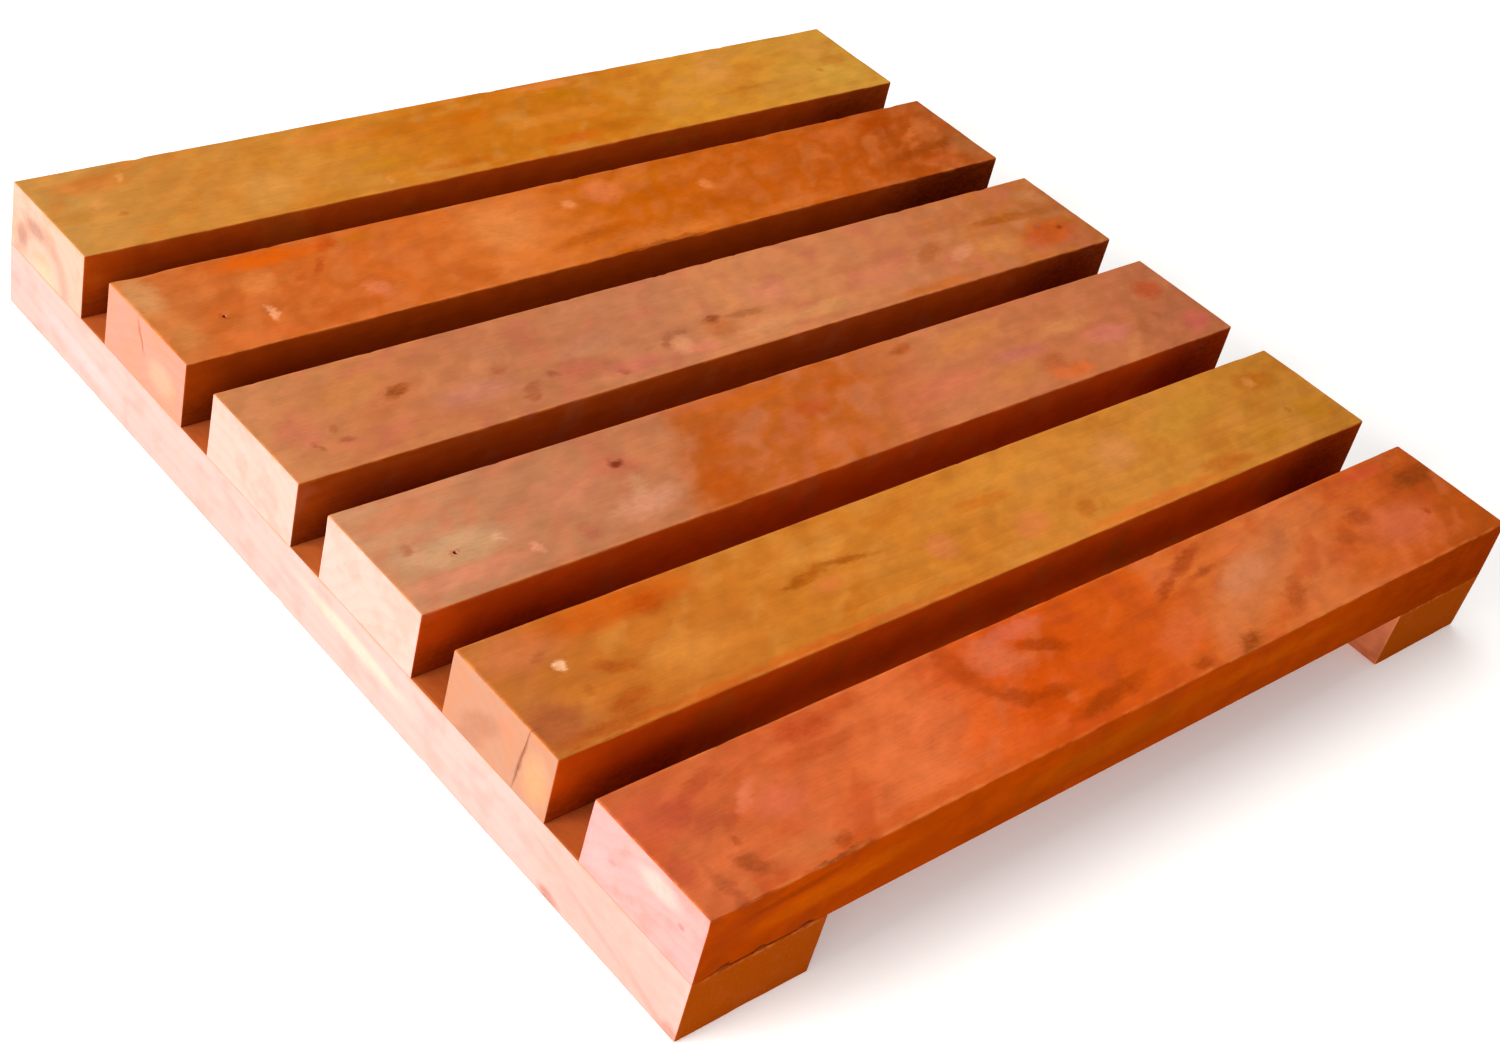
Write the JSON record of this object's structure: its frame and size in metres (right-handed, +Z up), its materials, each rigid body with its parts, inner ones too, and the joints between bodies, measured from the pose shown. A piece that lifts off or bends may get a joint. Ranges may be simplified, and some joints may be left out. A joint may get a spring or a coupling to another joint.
{
  "type": "slatted wooden bath mat",
  "caption": "Square duckboard bath mat: parallel wooden slats nailed flush across two bearers, with drainage gaps between them.",
  "frame": {"origin": "on the floor, under the middle of the mat", "axes": "+X along the slats, from bearer_left to bearer_right; +Y across the slats, from slat_6 at the front to slat_1 at the back; +Z up"},
  "size_m": [0.38, 0.38, 0.0493],
  "materials": {
    "wood_golden": "satin",
    "wood_orange": "satin",
    "wood_rose": "satin",
    "wood_red": "satin",
    "wood_bearer": "satin",
    "nail_steel": "dull"
  },
  "bodies": {
    "root": {"slat_1": "wood_golden", "slat_2": "wood_orange", "slat_3": "wood_rose", "slat_4": "wood_rose", "slat_5": "wood_golden", "slat_6": "wood_red", "bearer_left": "wood_bearer", "bearer_right": "wood_bearer", "nail_left_1": "nail_steel", "nail_left_2": "nail_steel", "nail_left_3": "nail_steel", "nail_left_4": "nail_steel", "nail_left_5": "nail_steel", "nail_left_6": "nail_steel", "nail_right_1": "nail_steel", "nail_right_2": "nail_steel", "nail_right_3": "nail_steel", "nail_right_4": "nail_steel", "nail_right_5": "nail_steel", "nail_right_6": "nail_steel"}
  },
  "joints": []
}
